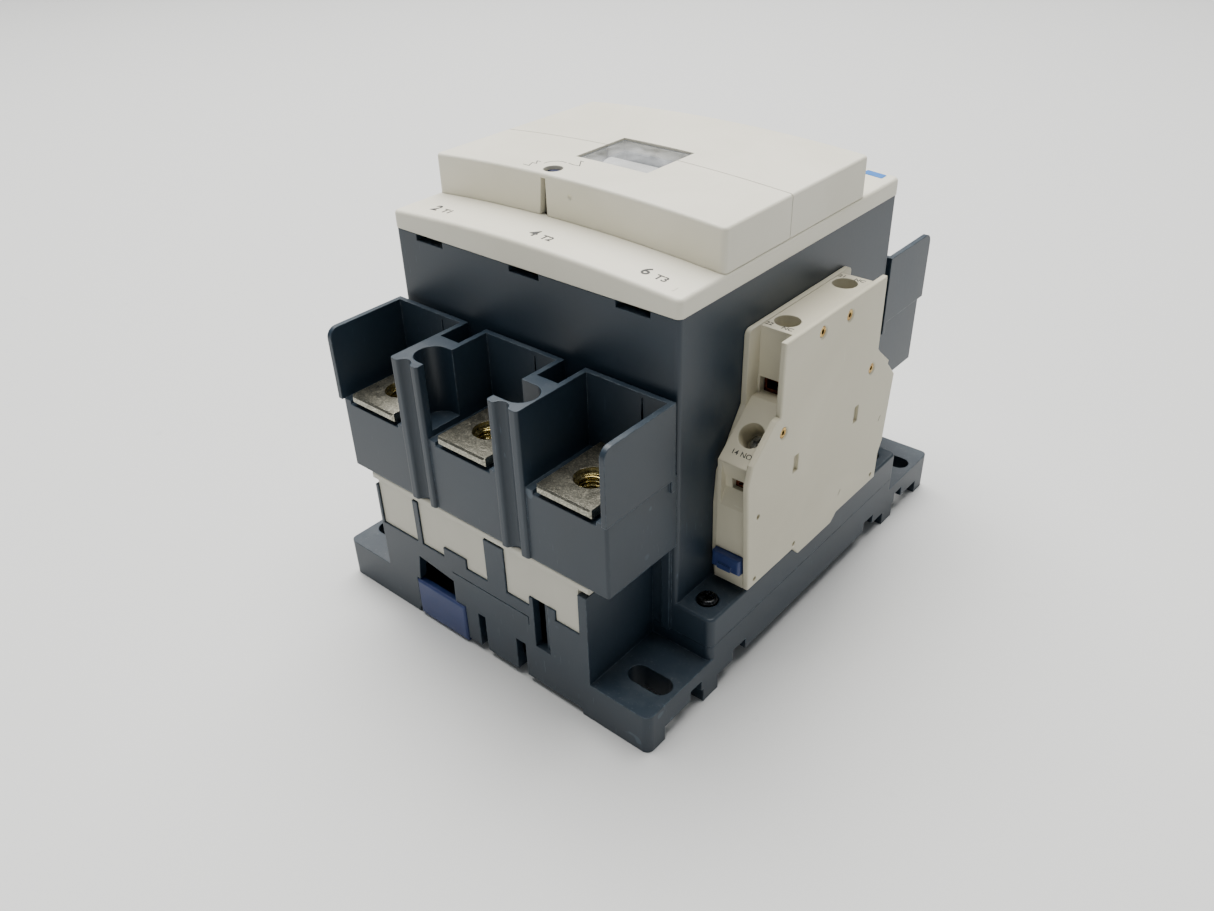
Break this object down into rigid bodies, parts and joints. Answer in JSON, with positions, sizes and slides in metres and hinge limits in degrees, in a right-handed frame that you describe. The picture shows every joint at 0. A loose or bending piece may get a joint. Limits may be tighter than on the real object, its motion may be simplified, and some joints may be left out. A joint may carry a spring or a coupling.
{
  "type": "three-pole power contactor",
  "caption": "Electromagnetic power contactor with shrouded screw terminals at both ends, a crowned front cover and a clip-on side auxiliary contact block, for rail or screw mounting.",
  "frame": {"origin": "centre of the base between its four mounting slots, at the level of the feet", "axes": "+Z out of the mounting surface towards the front cover, +Y towards the line side terminals, +X towards the auxiliary block"},
  "size_m": [0.1213, 0.158, 0.1283],
  "materials": {
    "slate_plastic": "moulded dark slate thermoplastic, fine satin grain",
    "cover_cream": "moulded warm off-white thermoplastic, satin",
    "insulator_cream": "moulded cream thermoplastic, satin",
    "aux_cream": "moulded pale cream thermoplastic, satin",
    "clear_window": "clear polycarbonate pane",
    "well_grey": "grey plastic tray",
    "flag_white": "white plastic flag",
    "navy_plastic": "dark navy plastic",
    "blue_plastic": "moulded blue thermoplastic",
    "laminated_steel": "stacked electrical steel sheets, ground pole faces",
    "copper": "copper",
    "rubber_pad": "black rubber",
    "bobbin_plastic": "glass-filled black nylon",
    "zinc_steel": "bright zinc plated steel",
    "yellow_zinc": "yellow passivated steel",
    "tinned_bar": "tin-plated copper bar, matt grey with fine speckle",
    "silvered_copper": "copper with silver alloy tips",
    "chute_steel": "copper-washed steel plates",
    "fibre_board": "red fibre board",
    "carrier_phenolic": "brown phenolic moulding",
    "spring_steel": "bright spring wire",
    "brass_trim": "brass",
    "slider_plastic": "black acetal"
  },
  "bodies": {
    "frame": {"base": "slate_plastic", "housing": "slate_plastic", "terminal_block_load": "slate_plastic", "terminal_block_line": "slate_plastic", "insulator_load": "insulator_cream", "insulator_line": "insulator_cream", "front_cover": "cover_cream", "lid_front": "cover_cream", "lid_rear": "cover_cream", "indicator_window": "clear_window", "indicator_well": "well_grey", "fixed_core": "laminated_steel", "shading_rings": "copper", "core_pads": "rubber_pad", "coil_bobbin": "bobbin_plastic", "coil_winding": "copper", "coil_terminal_clamps": "zinc_steel", "coil_terminal_screws": "zinc_steel", "arc_chute_cheeks": "fibre_board", "terminal_nuts_load": "yellow_zinc", "terminal_nuts_line": "yellow_zinc", "housing_screws": "zinc_steel", "aux_body": "aux_cream", "aux_cover": "aux_cream", "aux_eyelets": "brass_trim", "aux_screws": "zinc_steel", "aux_clamps": "zinc_steel", "aux_fixed_contacts": "brass_trim", "return_springs": "spring_steel", "aux_spring": "spring_steel", "terminal_bar_load_1": "tinned_bar", "terminal_bar_load_2": "tinned_bar", "terminal_bar_load_3": "tinned_bar", "terminal_bar_line_1": "tinned_bar", "terminal_bar_line_2": "tinned_bar", "terminal_bar_line_3": "tinned_bar", "arc_chute_1": "chute_steel", "arc_chute_2": "chute_steel", "arc_chute_3": "chute_steel"},
    "carrier": {"contact_carrier": "carrier_phenolic", "armature": "laminated_steel", "armature_pin": "zinc_steel", "indicator_flag": "flag_white", "test_plunger": "navy_plastic", "contact_spring_1": "spring_steel", "contact_spring_2": "spring_steel", "contact_spring_3": "spring_steel"},
    "bridge_1": {"contact_bridge_1": "silvered_copper"},
    "bridge_2": {"contact_bridge_2": "silvered_copper"},
    "bridge_3": {"contact_bridge_3": "silvered_copper"},
    "aux_slide": {"aux_slider": "slider_plastic", "aux_bridges": "silvered_copper"},
    "rail_hook": {"rail_latch": "blue_plastic"},
    "aux_release": {"aux_latch": "blue_plastic"}
  },
  "joints": [
    {"name": "carrier_travel", "type": "slide", "parent": "frame", "child": "carrier", "axis": [0, 0, -1], "range_m": [0, 0.007], "stiffness_N_per_m": 2500, "springref_m": -0.004, "deforming": ["return_springs"]},
    {"name": "bridge_1_lift", "type": "slide", "parent": "carrier", "child": "bridge_1", "axis": [0, 0, 1], "range_m": [0, 0.0014], "stiffness_N_per_m": 1500, "springref_m": -0.003, "deforming": ["contact_spring_1"]},
    {"name": "bridge_2_lift", "type": "slide", "parent": "carrier", "child": "bridge_2", "axis": [0, 0, 1], "range_m": [0, 0.0014], "stiffness_N_per_m": 1500, "springref_m": -0.003, "deforming": ["contact_spring_2"]},
    {"name": "bridge_3_lift", "type": "slide", "parent": "carrier", "child": "bridge_3", "axis": [0, 0, 1], "range_m": [0, 0.0014], "stiffness_N_per_m": 1500, "springref_m": -0.003, "deforming": ["contact_spring_3"]},
    {"name": "aux_slide_travel", "type": "slide", "parent": "frame", "child": "aux_slide", "axis": [0, 0, -1], "range_m": [0, 0.007], "stiffness_N_per_m": 150, "springref_m": -0.004, "deforming": ["aux_spring"]},
    {"name": "rail_latch_slide", "type": "slide", "parent": "frame", "child": "rail_hook", "axis": [0, -1, 0], "range_m": [0, 0.005], "stiffness_N_per_m": 900, "springref_m": -0.004},
    {"name": "aux_latch_slide", "type": "slide", "parent": "frame", "child": "aux_release", "axis": [0, -1, 0], "range_m": [0, 0.0025], "stiffness_N_per_m": 500, "springref_m": -0.002}
  ],
  "couplings": [
    {"joint": "bridge_1_lift", "follows": "carrier_travel", "ratio": 0.2},
    {"joint": "bridge_2_lift", "follows": "carrier_travel", "ratio": 0.2},
    {"joint": "bridge_3_lift", "follows": "carrier_travel", "ratio": 0.2},
    {"joint": "aux_slide_travel", "follows": "carrier_travel", "ratio": 1}
  ]
}
